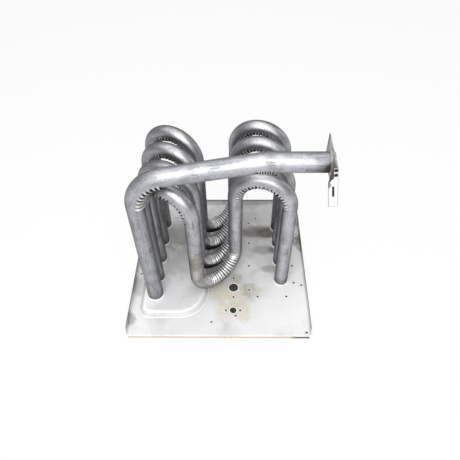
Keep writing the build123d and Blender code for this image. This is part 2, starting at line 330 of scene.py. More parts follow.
@dataclass(frozen=True)
class Blot:
    """A blot of discolouration, painted shadow or painted light: where it is in millimetres, how far it
    reaches, its colour and how strong it is.
    """

    x: float
    y: float
    reach: float
    colour: tuple
    strength: float = 0.6
    z: float = 12.0
    stretch: float = 1.0
    ragged: float = 1.3

    def over(self, canvas: Canvas, thin: Optional[Socket] = None) -> None:
        """Lays the blot over what is painted.

        Args:
            canvas: the material being painted.
            thin: a mask of fine specks that the blot hardly covers, or none.
        """
        tree, place_on = canvas.tree, canvas.surface
        centre = at(self.x, self.y, self.z)
        if self.stretch != 1.0:
            place_on = calc(tree, "MULTIPLY", place_on, (1.0 / self.stretch, 1.0, 1.0), vectors=True)
            centre = Vector((centre.x / self.stretch, centre.y, centre.z))
        inputs = {"Vector": place_on, "Centre": centre, "Reach": self.reach * MM, "Ragged": self.ragged}
        mask = canvas.effects.use(tree, canvas.effects.ragged_blot, inputs)
        mask = span(tree, mask, (0.0, 0.0), (1.0, self.strength))
        if thin is not None:
            mask = calc(tree, "MULTIPLY", mask, span(tree, thin, (0.0, 1.0), (1.0, 0.30)))
        canvas.paint(mask, self.colour)


@dataclass(frozen=True)
class Finish:
    """A metal with paler and darker patches, stains, and the masks that its mesh carries."""

    name: str
    pale: tuple
    dull: tuple
    roughness: tuple = (0.3, 0.5)
    metallic: float = 1.0
    patches: tuple = (40.0, 0.4, 0.65)
    blots: tuple = ()
    marks: tuple = ()

    def paint(self, canvas: Canvas) -> Socket:
        """Paints a material that is still in its pale colour, and says where it is dull."""
        dulled = canvas.clouds(*self.patches)
        canvas.paint(dulled, self.dull)
        for blot in self.blots:
            blot.over(canvas)
        self.mark(canvas)
        return dulled

    def mark(self, canvas: Canvas) -> None:
        """Paints the masks that the mesh carries, each in its colour."""
        for attribute, colour in self.marks:
            canvas.paint(canvas.attribute(attribute), colour)

    def build(self, effects: Effects) -> Material:
        """Makes the material with the shared node groups."""
        canvas = Canvas(self.name, effects, self.pale)
        return canvas.finish(self.paint(canvas), self.roughness, self.metallic)


@dataclass(frozen=True)
class AluminisedTube(Finish):
    """Satin aluminised steel: drawn streaks, soft patches, fine pits, discoloured spots, painted shade in
    the gaps and between the wrinkles, and painted highlights on the crests.
    """

    name: str = "Aluminised_tube"
    pale: tuple = (0.58, 0.585, 0.61)
    dull: tuple = (0.22, 0.22, 0.23)
    pit: tuple = (0.06, 0.06, 0.06)
    crease_shade: tuple = (0.035, 0.033, 0.03)
    edge: tuple = (0.02, 0.02, 0.03)
    patches: tuple = (22.0, 0.34, 0.66)
    # The crest mark is a painted highlight on each wrinkle crest; the groove mark is painted shade in the
    # wrinkle valleys and on the inner half where it faces down.
    marks: tuple = (("crest", (0.95, 0.95, 0.96)), ("groove", (0.035, 0.033, 0.03)))
    roughness: tuple = (0.40, 0.58)
    blots: tuple = (
        Blot(226, 110, 80, TAN, 0.30, z=190.0, ragged=0.6),
        Blot(222, 122, 34, UMBER, 0.4, z=215.0),
        Blot(236, 122, 24, (0.20, 0.17, 0.13), 0.35, z=255.0),
        Blot(574, 125, 30, (0.17, 0.12, 0.09), 0.7, z=585.0),
        Blot(556, 128, 24, (0.22, 0.19, 0.16), 0.6, z=570.0),
        Blot(530, 128, 20, (0.28, 0.25, 0.22), 0.5, z=568.0),
        Blot(505, 128, 18, (0.28, 0.25, 0.22), 0.4, z=567.0),
    )

    def paint(self, canvas: Canvas) -> Socket:
        """Paints the tubes' material, and says where it is dull."""
        tree, effects = canvas.tree, canvas.effects
        fill(tree, canvas.shader, {"Specular Tint": (*self.edge, 1.0)})
        lengthwise = place(tree, "ShaderNodeUVMap", uv_map="Along").outputs["UV"]
        inputs = {"Vector": lengthwise, "Across": 26.0, "Along": 7.0}
        streaks = effects.use(tree, effects.streaks, inputs)
        dulled = calc(tree, "MULTIPLY", streaks, canvas.clouds(*self.patches))
        canvas.paint(dulled, self.dull)
        canvas.paint(canvas.clouds(240.0, 0.48, 0.68), self.pit, 0.34)
        for blot in self.blots:
            blot.over(canvas)
        # Painted shade where other parts close the tubes in: in the gaps between them and under the
        # crowns.
        openness = place(tree, "ShaderNodeAmbientOcclusion", {"Distance": 0.055}, samples=6)
        canvas.paint(span(tree, openness.outputs["AO"], (0.40, 0.92), (0.92, 0.0)), self.crease_shade)
        self.mark(canvas)
        canvas.bump(scale=210.0, strength=0.4, distance=0.0009)
        return dulled


@dataclass(frozen=True)
class GalvanisedSheet(Finish):
    """Dull galvanised sheet with stains, specks, painted shadows, shade, light and emboss highlights, a
    painted warm reflection on the front lip, and a bright ring round each hole.
    """

    name: str = "Galvanised_sheet"
    pale: tuple = (0.74, 0.74, 0.75)
    dull: tuple = (0.56, 0.555, 0.545)
    speck: tuple = (0.12, 0.11, 0.09)
    lip: tuple = (0.62, 0.50, 0.30)
    rim: tuple = (0.045, 0.038, 0.032)
    patches: tuple = (7.0, 0.40, 0.70)
    # The first mark is exposed metal round the holes with painted highlights along the emboss bends; the
    # second is painted shade on the emboss wall, flange tops and hole edges.
    marks: tuple = (("bare_and_highlight", (0.95, 0.95, 0.95)), ("painted_shade", (0.045, 0.038, 0.032)))
    roughness: tuple = (0.46, 0.62)
    metallic: float = 0.15
    blots: tuple = (
        Blot(300, 165, 62, BEIGE, 0.8), Blot(352, 150, 60, BEIGE, 0.7), Blot(315, 95, 48, BEIGE, 0.75),
        Blot(365, 85, 42, BEIGE, 0.7), Blot(400, 168, 46, OLIVE, 0.8), Blot(438, 162, 36, OLIVE, 0.8),
        Blot(350, 222, 28, OLIVE, 0.7),
        # Painted shadows of the burner-side legs, falling to the left of their feet.
        Blot(440, 436, 42, BROWN, 0.85, stretch=2.4, ragged=0.5),
        Blot(476, 436, 34, SHADE_DARK, 0.6, stretch=2.2, ragged=0.9),
        Blot(450, 350, 28, BROWN, 0.5, stretch=2.2, ragged=0.5),
        Blot(486, 350, 20, SHADE_DARK, 0.6, stretch=1.4, ragged=0.4),
        Blot(466, 264, 22, GREY, 0.7, stretch=2.0, ragged=0.5),
        # Painted pools of light on the front right and along the back flange.
        Blot(510, 130, 140, PAINTED_LIGHT, 0.8, ragged=0.4),
        Blot(560, 300, 90, PAINTED_LIGHT, 0.7, ragged=0.4),
        Blot(292, 582, 60, PAINTED_LIGHT, 0.8, z=24.0, stretch=7.0, ragged=0.3),
        # Painted shade on the left flange.
        Blot(0, 60, 30, BROWN, 0.5, z=22.0), Blot(0, 330, 40, BROWN, 0.5, z=34.0),
        Blot(0, 460, 34, BROWN, 0.5, z=34.0),
        # Painted shade towards the back, round the tubes and on the side flanges.
        Blot(350, 520, 120, GREY, 0.28), Blot(450, 520, 110, GREY, 0.28),
        Blot(360, 400, 100, GREY, 0.22), Blot(450, 330, 70, GREY, 0.25),
        Blot(150, 300, 110, GREY, 0.35), Blot(150, 420, 110, GREY, 0.5),
        Blot(140, 400, 70, BROWN, 0.25), Blot(584, 395, 46, BROWN, 0.8, z=30.0),
        Blot(2, 190, 60, BROWN, 0.35, z=30.0), Blot(584, 480, 30, SHADE_DARK, 0.6, z=34.0),
        Blot(584, 350, 26, SHADE_DARK, 0.7, z=34.0),
    )

    def paint(self, canvas: Canvas) -> Socket:
        """Paints the panel's material, and says where it is dull."""
        tree = canvas.tree
        dulled = canvas.clouds(*self.patches)
        canvas.paint(dulled, self.dull)
        spot = place(tree, "ShaderNodeSeparateXYZ", {"Vector": canvas.surface}).outputs
        # A painted warm reflection along the front lip, with a painted shadow over its right end.
        lip = span(tree, spot["Z"], (11.5 * MM, 0.0), (8.0 * MM, 1.0))
        canvas.paint(lip, self.lip)
        dark_end = span(tree, spot["X"], (at(515, 0).x, 0.0), (at(535, 0).x, 0.9))
        canvas.paint(calc(tree, "MULTIPLY", lip, dark_end), self.rim)
        thin = canvas.clouds(150.0, 0.46, 0.62)
        for blot in self.blots:
            blot.over(canvas, thin if blot.colour in (BEIGE, OLIVE) else None)
        canvas.paint(canvas.clouds(240.0, 0.66, 0.74), self.speck, 0.5)
        self.mark(canvas)
        canvas.bump(scale=190.0, strength=0.10, distance=0.0004)
        return dulled


FERRULE_STEEL = Finish("Ferrule_steel", (0.97, 0.97, 0.97), (0.80, 0.80, 0.80), metallic=0.2)
FLANGE_STEEL = Finish(
    "Flange_steel", (0.64, 0.63, 0.62), (0.22, 0.20, 0.18), (0.4, 0.6), 0.45,
    blots=(Blot(571, 112, 26, BROWN, 0.8, z=606.0), Blot(571, 92, 22, GREY, 0.7, z=625.0)),
)
# On the strap, the groove mark is painted shade along its edges and round its holes; the other mark is
# painted shade round its rivets, a painted shadow down its neck and the black sheet in its slot.
STRAP_ZINC = Finish(
    "Strap_zinc", (0.90, 0.90, 0.91), (0.70, 0.70, 0.71), (0.35, 0.5), 0.4, patches=(120.0, 0.45, 0.70),
    marks=(("groove", (0.07, 0.068, 0.066)), ("painted_shade", (0.03, 0.028, 0.027))),
)
BLACK_OXIDE = Finish("Black_oxide", (0.03, 0.03, 0.03), (0.08, 0.07, 0.06))
SCREW_ZINC = Finish("Screw_zinc", (0.5, 0.5, 0.5), (0.3, 0.3, 0.3))
GASKET_FIBRE = Finish("Gasket_fibre", (0.72, 0.70, 0.65), (0.55, 0.53, 0.5), (0.8, 0.95), 0.0)
FLUE_STEEL = AluminisedTube("Flue_steel", pale=(0.54, 0.545, 0.585), roughness=(0.50, 0.68))
PAN_SHEET = GalvanisedSheet("Pan_sheet", blots=())


def add(name: str, data: bpy.types.ID) -> Thing:
    """Puts a new object with some data into the scene."""
    thing = bpy.data.objects.new(name, data)
    bpy.context.scene.collection.objects.link(thing)
    return thing


def set_up(mesh: Mesh, material: Material, sharp: float) -> Thing:
    """Stands a mesh in the scene as a smooth piece with crisp edges.

    Args:
        mesh: the mesh, whose name the piece takes.
        material: its finish.
        sharp: the angle in degrees from which an edge stays crisp.

    Returns:
        The piece.
    """
    mesh.polygons.foreach_set("use_smooth", [True] * len(mesh.polygons))
    mesh.set_sharp_from_angle(angle=math.radians(sharp))
    mesh.materials.append(material)
    thing = add(mesh.name, mesh)
    log.info("%s: %d faces", thing.name, len(mesh.polygons))
    return thing


# Pipe geometry


@dataclass(frozen=True)
class Bend:
    """A circular bend: its start, its heading there, its inner side, radius and turn in degrees."""

    start: Vector
    heading: Vector
    inward: Vector
    radius: float
    turn: float
    wrinkles: int

    def station(self, part: float) -> tuple:
        """The point, heading and inner direction at a part of the bend, 0 its start and 1 its end."""
        a = math.radians(self.turn * part)
        heading = self.heading * math.cos(a) + self.inward * math.sin(a)
        inward = self.inward * math.cos(a) - self.heading * math.sin(a)
        return self.start + self.inward * self.radius - inward * self.radius, heading, inward


@dataclass
class Ring:
    """One ring of a pipe's skin: its middle, heading, radius, and where it is in a bend."""

    middle: Vector
    heading: Vector
    radius: float
    inward: Optional[Vector] = None
    part: float = 0.0
    bend: Optional[Bend] = None
    along: float = 0.0


@dataclass(frozen=True)
class WrinkleForm:
    """How the inner half of a bend is folded, and where painted shade and painted highlights lie on the
    folds.
    """

    height: float = 4.4 * MM
    breadth: float = 0.42
    sink: float = 0.18
    # The valleys and the down-facing inner half carry painted shade, and each crest a painted highlight,
    # which narrowing thins where it faces down.
    under: float = 1.0
    rings_per_wrinkle: int = 8
    side: tuple = (0.12, 0.40)
    settle: float = 0.04
    lean: float = 0.06
    lean_turn: float = 3.0
    narrowing: float = 6.0
    crease_shade: float = 0.85
    crease_shade_fall: float = 1.5


@dataclass
class PipeSkin:
    """Makes a hollow pipe's closed mesh, with wrinkles on the inner half of each bend."""

    name: str
    radius: float
    wall: float
    foot: Vector
    bends: list
    end: Vector
    flare: tuple = ()
    end_flare: tuple = ()
    wrinkle: WrinkleForm = field(default_factory=WrinkleForm)
    around: int = 56
    step: float = 12.0 * MM
    seed: int = 1
    unevenness: tuple = (0.78, 1.15)
    bore_stride: int = 4

    def _straight(self, start: Vector, end: Vector) -> list:
        """Rings along a straight run, without its last one."""
        run = end - start
        count = max(2, int(run.length / self.step))
        heading = run.normalized()
        return [Ring(start + run * (i / count), heading, self.radius) for i in range(count)]

    def _lip(self, ring: Ring, flare: tuple, way: float) -> list:
        """The three rings of a flared end, from its very end towards the pipe."""
        width, thickness = flare
        lifted = ring.middle + ring.heading * thickness * way
        spots = ((ring.middle, width), (lifted, width), (lifted, 0.0))
        return [Ring(spot, ring.heading, self.radius + wider) for spot, wider in spots]

    def rings(self) -> list:
        """All outer rings from foot to end."""
        rings, start = [], self.foot
        for bend in self.bends:
            rings += self._straight(start, bend.start)
            count = bend.wrinkles * self.wrinkle.rings_per_wrinkle
            for i in range(count):
                middle, heading, inward = bend.station(i / count)
                rings.append(Ring(middle, heading, self.radius, inward, i / count, bend))
            start = bend.station(1.0)[0]
        rings += self._straight(start, self.end)
        rings.append(Ring(self.end, (self.end - start).normalized(), self.radius))
        if self.flare:
            rings[:1] = self._lip(rings[0], self.flare, 1.0)
        if self.end_flare:
            rings[-1:] = self._lip(rings[-1], self.end_flare, -1.0)[::-1]
        for before, after in zip(rings, rings[1:]):
            after.along = before.along + (after.middle - before.middle).length
        return rings

    def _ridge(self, ring: Ring, radial: Vector, jitter: list) -> tuple:
        """How far a wrinkle stands out at one point, and its masks for painted shade and for a painted
        highlight on the crest.
        """
        if ring.bend is None:
            return 0.0, 0.0, 0.0
        form, count = self.wrinkle, ring.bend.wrinkles
        side = smooth(*form.side, radial.dot(ring.inward))
        ends = smooth(0.0, form.settle, ring.part) * smooth(1.0, 1.0 - form.settle, ring.part)
        place_in = ring.part * count
        index = min(count - 1, int(place_in))
        sideways = radial.dot(ring.heading.cross(ring.inward))
        lean = form.lean * math.sin(form.lean_turn * index) * sideways
        wave = 0.5 - 0.5 * math.cos(2.0 * math.pi * (place_in + lean))
        crest = wave ** form.breadth
        strength = side * ends * jitter[index]
        stand = form.height * strength * (crest - form.sink)
        # Painted shade in the valleys and on the down-facing inner half; a painted highlight on each
        # crest.
        down = side * max(0.0, -ring.inward.z)
        bright = crest ** (1.0 + form.narrowing * down)
        groove = form.crease_shade * strength * (1.0 - crest) ** form.crease_shade_fall
        groove += form.under * down * (1.0 - form.crease_shade * bright)
        return stand, min(1.0, groove), min(1.0, strength * bright)

    @staticmethod
    def _frames(rings: list) -> list:
        """For each ring a direction across it, carried along the pipe without twist."""
        heading = rings[0].heading
        side = heading.orthogonal().normalized()
        frames = []
        for ring in rings:
            side = (heading.rotation_difference(ring.heading) @ side).normalized()
            heading = ring.heading
            frames.append(side.copy())
        return frames

    def build(self, material: Material) -> Thing:
        """Makes the pipe in its finish."""
        chance = random.Random(self.seed)
        jitter = {
            id(bend): [chance.uniform(*self.unevenness) for _ in range(bend.wrinkles)]
            for bend in self.bends
        }
        outer = self.rings()
        frames = self._frames(outer)
        bore = self.radius - self.wall
        inner = [
            (Ring(ring.middle, ring.heading, bore, along=ring.along), frame)
            for i, (ring, frame) in enumerate(zip(outer, frames))
            if i % self.bore_stride == 0 or i == len(outer) - 1
        ]
        verts, grooves, crests, uvs = [], [], [], []
        loop = list(zip(outer, frames)) + inner[::-1]
        for ring, across in loop:
            other = ring.heading.cross(across)
            for j in range(self.around):
                angle = 2.0 * math.pi * j / self.around
                radial = across * math.cos(angle) + other * math.sin(angle)
                stand, groove, crest = self._ridge(ring, radial, jitter.get(id(ring.bend), []))
                verts.append(ring.middle + radial * (ring.radius + stand))
                grooves.append(groove)
                crests.append(crest)
                uvs.append((j / self.around, ring.along))
        faces, around = [], self.around
        for i in range(len(loop)):
            low, high = i * around, (i + 1) % len(loop) * around
            for j in range(around):
                n = (j + 1) % around
                faces.append((low + j, low + n, high + n, high + j))
        mesh = bpy.data.meshes.new(self.name)
        mesh.from_pydata(verts, [], faces)
        mesh.validate()
        for name, values in (("groove", grooves), ("crest", crests)):
            mesh.attributes.new(name, "FLOAT", "POINT").data.foreach_set("value", values)
        layer = mesh.uv_layers.new(name="Along")
        for polygon in mesh.polygons:
            corners = [mesh.loops[k].vertex_index for k in polygon.loop_indices]
            wraps = max(corner % around for corner in corners) == around - 1
            for k, corner in zip(polygon.loop_indices, corners):
                u, v = uvs[corner]
                layer.data[k].uv = (1.0 if wraps and u == 0.0 else u, v)
        return set_up(mesh, material, sharp=50.0)


@dataclass
class TubeBank:
    """The four serpentine tubes between the collector and the burner side."""

    radius: float = 22.225
    wall: float = 1.2
    bend_radius: float = 80.8
    first_leg_x: float = 80.1
    set_back: tuple = (0.0, -69.2, 40.2, 0.0)
    front_y: float = 214.3
    pitch: float = 81.4
    left_crown: float = 463.3
    right_crown: float = 445.6
    clearance: float = 20.6
    panel_top: float = 12.0
    collector_under: float = 26.5
    panel_under: float = 10.5
    flare: tuple = (2.2, 1.5)
    wrinkles: int = 21
    first_seed: int = 11

    def _bends(self, feet: list) -> list:
        """The tube's two arches and its U-bend."""
        heights = [
            self.panel_top + self.left_crown - self.bend_radius,
            self.panel_top + self.clearance + self.radius + self.bend_radius,
            self.panel_top + self.right_crown - self.bend_radius,
        ]
        radius = self.bend_radius * MM
        return [
            Bend(a + UP * height * MM, heading, (b - a).normalized(), radius, 180.0, self.wrinkles)
            for a, b, height, heading in zip(feet, feet[1:], heights, [UP, -UP, UP])
        ]

    def leg_x(self) -> list:
        """How far right each leg stands, so that every bend has the same radius."""
        places = [self.first_leg_x]
        for back, next_back in zip(self.set_back, self.set_back[1:]):
            places.append(places[-1] + math.sqrt((2 * self.bend_radius) ** 2 - (next_back - back) ** 2))
        return places

    def build(self, material: Material) -> list:
        """Makes the four tubes, each in place of its solid."""
        tubes = []
        for i in range(4):
            y = self.front_y + self.pitch * (3 - i)
            feet = [at(x, y + back) for x, back in zip(self.leg_x(), self.set_back)]
            width, thickness = self.flare
            foot = feet[0] + UP * (self.collector_under - thickness) * MM
            end = feet[3] + UP * (self.panel_under - thickness) * MM
            rim = (width * MM, thickness * MM)
            skin = PipeSkin(
                f"serpentine_tube_{i + 1}", self.radius * MM, self.wall * MM, foot, self._bends(feet),
                end, flare=rim, end_flare=rim, seed=self.first_seed + i,
            )
            tube = skin.build(material)
            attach(tube, Body.ROOT.value)
            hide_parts(f"tube_{i + 1}")
            tubes.append(tube)
        return tubes


@dataclass
class FluePipe:
    """The larger pipe from the collector to the end flange."""

    radius: float = 25.4
    wall: float = 1.2
    x: float = 80.1
    y: float = 146.3
    foot_z: float = 25.0
    elbow_start: float = 448.9
    elbow_radius: float = 100.0
    rise: float = 10.8
    run: float = 240.0
    second_radius: float = 200.0
    end_x: float = 581.0
    flare: tuple = (2.2, 1.5)
    elbow_wrinkles: int = 9
    second_wrinkles: int = 6

    def build(self, material: Material) -> Thing:
        """Makes the pipe in place of its solid."""
        elbow = Bend(
            at(self.x, self.y, self.elbow_start), UP, Vector((1, 0, 0)), self.elbow_radius * MM,
            90.0 - self.rise, self.elbow_wrinkles,
        )
        corner, heading, inward = elbow.station(1.0)
        start = corner + heading * self.run * MM
        second = Bend(start, heading, inward, self.second_radius * MM, self.rise, self.second_wrinkles)
        level = second.station(1.0)[0]
        end = Vector((at(self.end_x, 0).x, level.y, level.z))
        foot = at(self.x, self.y, self.foot_z)
        skin = PipeSkin(
            "flue_pipe_skin", self.radius * MM, self.wall * MM, foot, [elbow, second], end,
            flare=(self.flare[0] * MM, self.flare[1] * MM), around=64, seed=5,
            wrinkle=WrinkleForm(height=5.4 * MM, sink=0.15, rings_per_wrinkle=10, side=(0.12, 0.50)),
        )
        pipe = skin.build(material)
        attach(pipe, Body.ROOT.value)
        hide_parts("flue_pipe")
        return pipe


def between(points: list, parts_of: Callable) -> list:
    """A closed line with each side cut into as many parts as its length asks for."""
    dense = []
    for a, b in zip(points, points[1:] + points[:1]):
        parts = parts_of(math.dist(a, b))
        step = ((b[0] - a[0]) / parts, (b[1] - a[1]) / parts)
        dense += [(a[0] + step[0] * i, a[1] + step[1] * i) for i in range(parts)]
    return dense


def fill_lines(
    shape: Shape, lines: list, loose: list, names: tuple, where: Callable, holed: Callable
) -> None:
    """Fills flat closed lines with triangles.

    Args:
        shape: the mesh that they go into.
        lines: pairs of a line's points and their values: a height, then one value for each layer.
        loose: pairs of a single point and its values.
        names: the float layers that the values fill.
        where: the place in the frame of a flat point with a height.
        holed: if a flat point lies in a hole.
    """
    points, edges, values = [], [], []
    for ring, traits in lines:
        start, count = len(points), len(ring)
        points += [Vector(p) for p in ring]
        values += [traits] * count
        edges += [(start + i, start + (i + 1) % count) for i in range(count)]
    for spot, traits in loose:
        points.append(Vector(spot))
        values.append(traits)
    spots, _, triangles, origins = geometry.delaunay_2d_cdt(points, edges, [], 1, 1e-4, True)[:4]
    for name in names:
        shape.verts.layers.float.new(name)
    layers = [shape.verts.layers.float[name] for name in names]
    verts = []
    for (x, y), sources in zip(spots, origins):
        height, *traits = values[sources[0] if sources else 0]
        vert = shape.verts.new(where(x, y, height))
        for layer, value in zip(layers, traits):
            vert[layer] = value
        verts.append(vert)
    for corners in triangles:
        if not holed(*(sum(spots[k][axis] for k in corners) / 3 for axis in (0, 1))):
            shape.faces.new([verts[k] for k in corners])


def turn_faces(shape: Shape, outward: Vector) -> None:
    """Turns an open sheet's faces all one way, most of them outward."""
    bmesh.ops.recalc_face_normals(shape, faces=shape.faces)
    shape.normal_update()
    if sum(face.normal.dot(outward) * face.calc_area() for face in shape.faces) < 0.0:
        bmesh.ops.reverse_faces(shape, faces=shape.faces)
        shape.normal_update()


@dataclass
class Panel:
    """The folded sheet that carries everything: its flanges, collector emboss and punched holes."""

    size: float = 584.2
    sheet: float = 1.5
    top: float = 12.0
    bend: float = 2.5
    flange: float = 26.0
    nose: float = 12.0
    relief: float = 5.0
    emboss_x: tuple = (30.0, 253.0)
    emboss_y: tuple = (66.6, 502.0)
    emboss_height: float = 16.0
    wall_run: float = 12.0
    left_radius: float = 36.0
    right_radius: float = 95.0
    base_fillet: float = 6.0
    shoulder_fillet: float = 9.0
    collector_x: float = 80.1
    burner_x: float = 501.6
    rows: tuple = (214.3, 295.7, 377.1, 458.5)
    flue_y: float = 146.3
    tube_radius: float = 22.3
    flue_radius: float = 25.5
    large_hole: tuple = (339.0, 184.0, 15.0)
    sensor_hole: tuple = (338.0, 94.0, 10.0)
    small_radius: float = 2.6
    small_holes: tuple = (
        (346.6, 74.0), (392.8, 174.4), (420.2, 148.0), (516.7, 148.4), (545.6, 204.5), (571.0, 194.7),
        (546.4, 277.1), (571.0, 383.6), (392.9, 276.3), (394.8, 381.8), (395.4, 480.2), (422.0, 507.1),
        (571.0, 14.0), (339.0, 145.5), (339.0, 222.5), (314.5, 94.0), (361.5, 94.0),
    )
    cover_screw_x: tuple = (15.0, 268.0)
    cover_screw_y: tuple = (51.0, 240.0, 400.0, 517.0)
    grid: float = 11.0
    arc_spacing: float = 4.5
    long_side: float = 30.0
    long_parts: int = 19
    base_steps: int = 5
    shoulder_steps: int = 7
    fold_steps: int = 6
    wall_steps: int = 4
    small_sides: int = 18
    large_sides: int = 40
    wall_margin: float = 3.0
    hole_margin: float = 6.0
    wave: float = 0.35
    wave_lengths: tuple = (61.0, 83.0, 74.0)
    wave_skew: float = 1.3
    held: tuple = (4.0, 60.0)
    # Painted highlights along the emboss's base and shoulder bends, and painted shade on its wall and
    # along the flanges' tops.
    bend_highlight: float = 0.45
    highlight_base_rows: tuple = (1, 2, 3)
    highlight_shoulder_from: int = 9
    shaded_wall: float = 0.10
    flange_top_shade: tuple = (0.0, 0.35, 0.85)
    # Rings round each hole as spread, exposed metal and painted shade; the painted shade darkens each
    # hole's edge.
    small_edge: tuple = ((0.0, 0.0, 1.0), (1.0, 0.0, 0.9), (1.9, 1.0, 0.0), (3.4, 0.0, 0.0))
    large_edge: tuple = (
        (0.0, 0.0, 1.0), (0.7, 0.0, 1.0), (1.4, 1.0, 0.0),
        (3.2, 1.0, 0.0), (4.2, 0.0, 0.3), (5.4, 0.0, 0.0),
    )

    def holes(self) -> list:
        """Every hole as x, y, radius."""
        tubes = [(x, y, self.tube_radius) for x in (self.collector_x, self.burner_x) for y in self.rows]
        screws = [(x, y, self.small_radius) for x in self.cover_screw_x for y in self.cover_screw_y]
        small = [(x, y, self.small_radius) for x, y in self.small_holes]
        flue = (self.collector_x, self.flue_y, self.flue_radius)
        return tubes + [flue, self.large_hole, self.sensor_hole] + small + screws

    def outline(self, inset: float) -> list:
        """The emboss outline moved in by an inset, always with the same number of points."""
        (x0, x1), (y0, y1) = self.emboss_x, self.emboss_y
        corners = [
            (x0, y0, self.left_radius, 180), (x1, y0, self.right_radius, 270),
            (x1, y1, self.right_radius, 0), (x0, y1, self.left_radius, 90),
        ]
        points = []
        for x, y, radius, first in corners:
            cx = x + radius if x == x0 else x - radius
            cy = y + radius if y == y0 else y - radius
            count = int(radius / self.arc_spacing)
            for i in range(count + 1):
                a = math.radians(first + 90.0 * i / count)
                reach = radius - inset
                points.append((cx + reach * math.cos(a), cy + reach * math.sin(a)))
        return between(points, lambda length: self.long_parts if length > self.long_side else 1)

    def profile(self) -> list:
        """The emboss wall's section as pairs of inset and height, with both bends rounded."""
        lean = math.atan2(self.emboss_height, self.wall_run)
        low, high = self.base_fillet, self.shoulder_fillet
        base, shoulder = low * math.tan(lean / 2), high * math.tan(lean / 2)
        pairs = []
        for i in range(self.base_steps + 1):
            a = lean * i / self.base_steps
            pairs.append((-base + low * math.sin(a), low * (1.0 - math.cos(a))))
        for i in range(self.shoulder_steps + 1):
            a = lean * (1.0 - i / self.shoulder_steps)
            drop = high * (1.0 - math.cos(a))
            pairs.append((self.wall_run + shoulder - high * math.sin(a), self.emboss_height - drop))
        return pairs

    def _inside(self, x: float, y: float, inset: float) -> bool:
        """If a point lies within the emboss outline at an inset."""
        (x0, x1), (y0, y1) = self.emboss_x, self.emboss_y
        x0, x1, y0, y1 = x0 + inset, x1 - inset, y0 + inset, y1 - inset
        if not (x0 < x < x1 and y0 < y < y1):
            return False
        radius = (self.left_radius if x < (x0 + x1) / 2 else self.right_radius) - inset
        cx = min(max(x, x0 + radius), x1 - radius)
        cy = min(max(y, y0 + radius), y1 - radius)
        beyond = (x < x0 + radius or x > x1 - radius) and (y < y0 + radius or y > y1 - radius)
        return not beyond or math.hypot(x - cx, y - cy) < radius

    def _run(self) -> list:
        """How far along an edge its points lie, from one relieved corner to the next."""
        cut, end = self.relief, self.size - self.relief
        count = int((end - cut) / self.grid)
        return [cut + (end - cut) * i / count for i in range(count + 1)]

    def _border(self) -> list:
        """The flat part's outline, with its relieved corners, and points all along its long edges."""
        near, far = self.sheet / 2 + self.bend, self.size - self.sheet / 2 - self.bend
        cut, end, run = self.relief, self.size - self.relief, self._run()
        front = [(x, near) for x in run]
        right = [(far, y) for y in run]
        back = [(x, far) for x in reversed(run)]
        left = [(near, y) for y in reversed(run)]
        return front + [(end, cut)] + right + [(end, end)] + back + [(cut, end)] + left + [(cut, cut)]

    def _lines(self, holes: list) -> list:
        """Every closed line of the flat part, with its height above the sheet, its exposed metal and
        painted highlight, and its painted shade.
        """
        lines = [(self._border(), (0.0, 0.0, 0.0))]
        for i, (inset, height) in enumerate(self.profile()):
            highlit = i in self.highlight_base_rows or i >= self.highlight_shoulder_from
            traits = (self.bend_highlight, 0.0) if highlit else (0.0, self.shaded_wall)
            lines.append((self.outline(inset), (height, *traits)))
        for x, y, radius in holes:
            small = radius <= self.small_radius
            count = self.small_sides if small else self.large_sides
            for spread, bare_and_highlight, painted_shade in self.small_edge if small else self.large_edge:
                angles = [2 * math.pi * i / count for i in range(count)]
                reach = radius + spread
                ring = [(x + reach * math.cos(a), y + reach * math.sin(a)) for a in angles]
                lines.append((ring, (self._level(x, y), bare_and_highlight, painted_shade)))
        return lines

    def _level(self, x: float, y: float) -> float:
        """How high the emboss lifts the sheet at a point, 0 outside it."""
        return self.emboss_height if self._inside(x, y, self.profile()[-1][0]) else 0.0

    def _loose(self, holes: list) -> list:
        """Points between the lines, so that the sheet can wave."""
        profile = self.profile()
        first, last = profile[0][0] - self.wall_margin, profile[-1][0] + self.wall_margin
        steps = int(self.size / self.grid)
        marks = [self.size * i / steps for i in range(1, steps)]
        return [
            ((x, y), (self._level(x, y), 0.0, 0.0)) for x in marks for y in marks
            if not (self._inside(x, y, first) and not self._inside(x, y, last))
            and not any(math.hypot(x - hx, y - hy) < r + self.hole_margin for hx, hy, r in holes)
        ]

    def _wavy(self, x: float, y: float, height: float) -> Vector:
        """The place of a flat point on the sheet's middle surface, with its faint wave."""
        across, skew, along = self.wave_lengths
        wave = math.sin(x / across + self.wave_skew * math.sin(y / skew)) * math.cos(y / along)
        return at(x, y, self.top - self.sheet / 2 + height + self.wave * wave * self._calm(x, y))

    def _calm(self, x: float, y: float) -> float:
        """1 in the middle of the sheet and 0 at its bends and corners, where it is held flat."""
        return smooth(*self.held, min(x, y, self.size - x, self.size - y))

